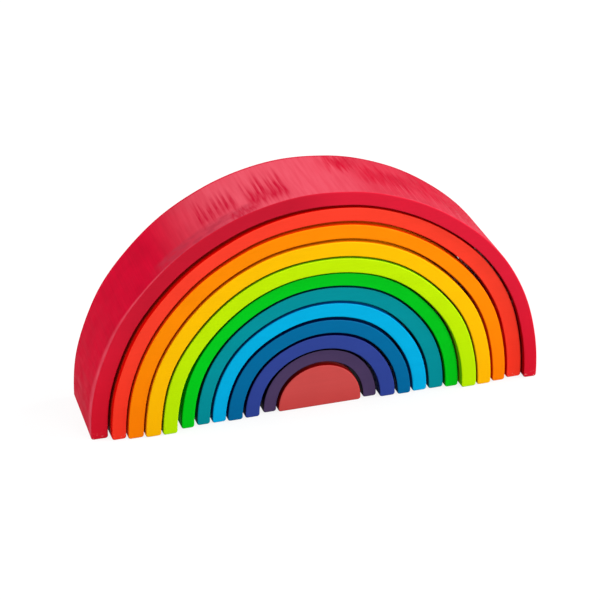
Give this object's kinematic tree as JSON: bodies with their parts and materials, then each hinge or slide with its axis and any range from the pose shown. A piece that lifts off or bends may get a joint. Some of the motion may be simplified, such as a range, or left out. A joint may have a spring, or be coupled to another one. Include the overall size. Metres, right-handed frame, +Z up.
{
  "type": "wooden rainbow stacker",
  "caption": "Nest of loose half-round wooden arches over a solid half-disc core, stained in rainbow colours, for stacking and open-ended play.",
  "frame": {"origin": "middle of the nest's footprint, on the surface that it stands on", "axes": "+X across the rainbow, +Y from the front face to the back, +Z up"},
  "size_m": [0.374, 0.0794, 0.1887],
  "materials": {
    "crimson_stain": "satin",
    "red_stain": "satin",
    "orange_stain": "satin",
    "amber_stain": "satin",
    "lime_stain": "satin",
    "green_stain": "satin",
    "teal_stain": "satin",
    "sky_stain": "satin",
    "ocean_stain": "satin",
    "indigo_stain": "satin",
    "purple_stain": "satin",
    "coral_stain": "satin"
  },
  "bodies": {
    "crimson_arch": {"crimson_arch": "crimson_stain"},
    "red_arch": {"red_arch": "red_stain"},
    "orange_arch": {"orange_arch": "orange_stain"},
    "amber_arch": {"amber_arch": "amber_stain"},
    "lime_arch": {"lime_arch": "lime_stain"},
    "green_arch": {"green_arch": "green_stain"},
    "teal_arch": {"teal_arch": "teal_stain"},
    "sky_arch": {"sky_arch": "sky_stain"},
    "ocean_arch": {"ocean_arch": "ocean_stain"},
    "indigo_arch": {"indigo_arch": "indigo_stain"},
    "purple_arch": {"purple_arch": "purple_stain"},
    "coral_core": {"coral_core": "coral_stain"}
  },
  "joints": [
    {"name": "red_slide", "type": "slide", "parent": "crimson_arch", "child": "red_arch", "axis": [0, 1, 0], "range_m": [-0.08, 0.08]},
    {"name": "orange_slide", "type": "slide", "parent": "red_arch", "child": "orange_arch", "axis": [0, 1, 0], "range_m": [-0.08, 0.08]},
    {"name": "amber_slide", "type": "slide", "parent": "orange_arch", "child": "amber_arch", "axis": [0, 1, 0], "range_m": [-0.08, 0.08]},
    {"name": "lime_slide", "type": "slide", "parent": "amber_arch", "child": "lime_arch", "axis": [0, 1, 0], "range_m": [-0.08, 0.08]},
    {"name": "green_slide", "type": "slide", "parent": "lime_arch", "child": "green_arch", "axis": [0, 1, 0], "range_m": [-0.08, 0.08]},
    {"name": "teal_slide", "type": "slide", "parent": "green_arch", "child": "teal_arch", "axis": [0, 1, 0], "range_m": [-0.08, 0.08]},
    {"name": "sky_slide", "type": "slide", "parent": "teal_arch", "child": "sky_arch", "axis": [0, 1, 0], "range_m": [-0.08, 0.08]},
    {"name": "ocean_slide", "type": "slide", "parent": "sky_arch", "child": "ocean_arch", "axis": [0, 1, 0], "range_m": [-0.08, 0.08]},
    {"name": "indigo_slide", "type": "slide", "parent": "ocean_arch", "child": "indigo_arch", "axis": [0, 1, 0], "range_m": [-0.08, 0.08]},
    {"name": "purple_slide", "type": "slide", "parent": "indigo_arch", "child": "purple_arch", "axis": [0, 1, 0], "range_m": [-0.08, 0.08]},
    {"name": "coral_slide", "type": "slide", "parent": "purple_arch", "child": "coral_core", "axis": [0, 1, 0], "range_m": [-0.08, 0.08]}
  ]
}
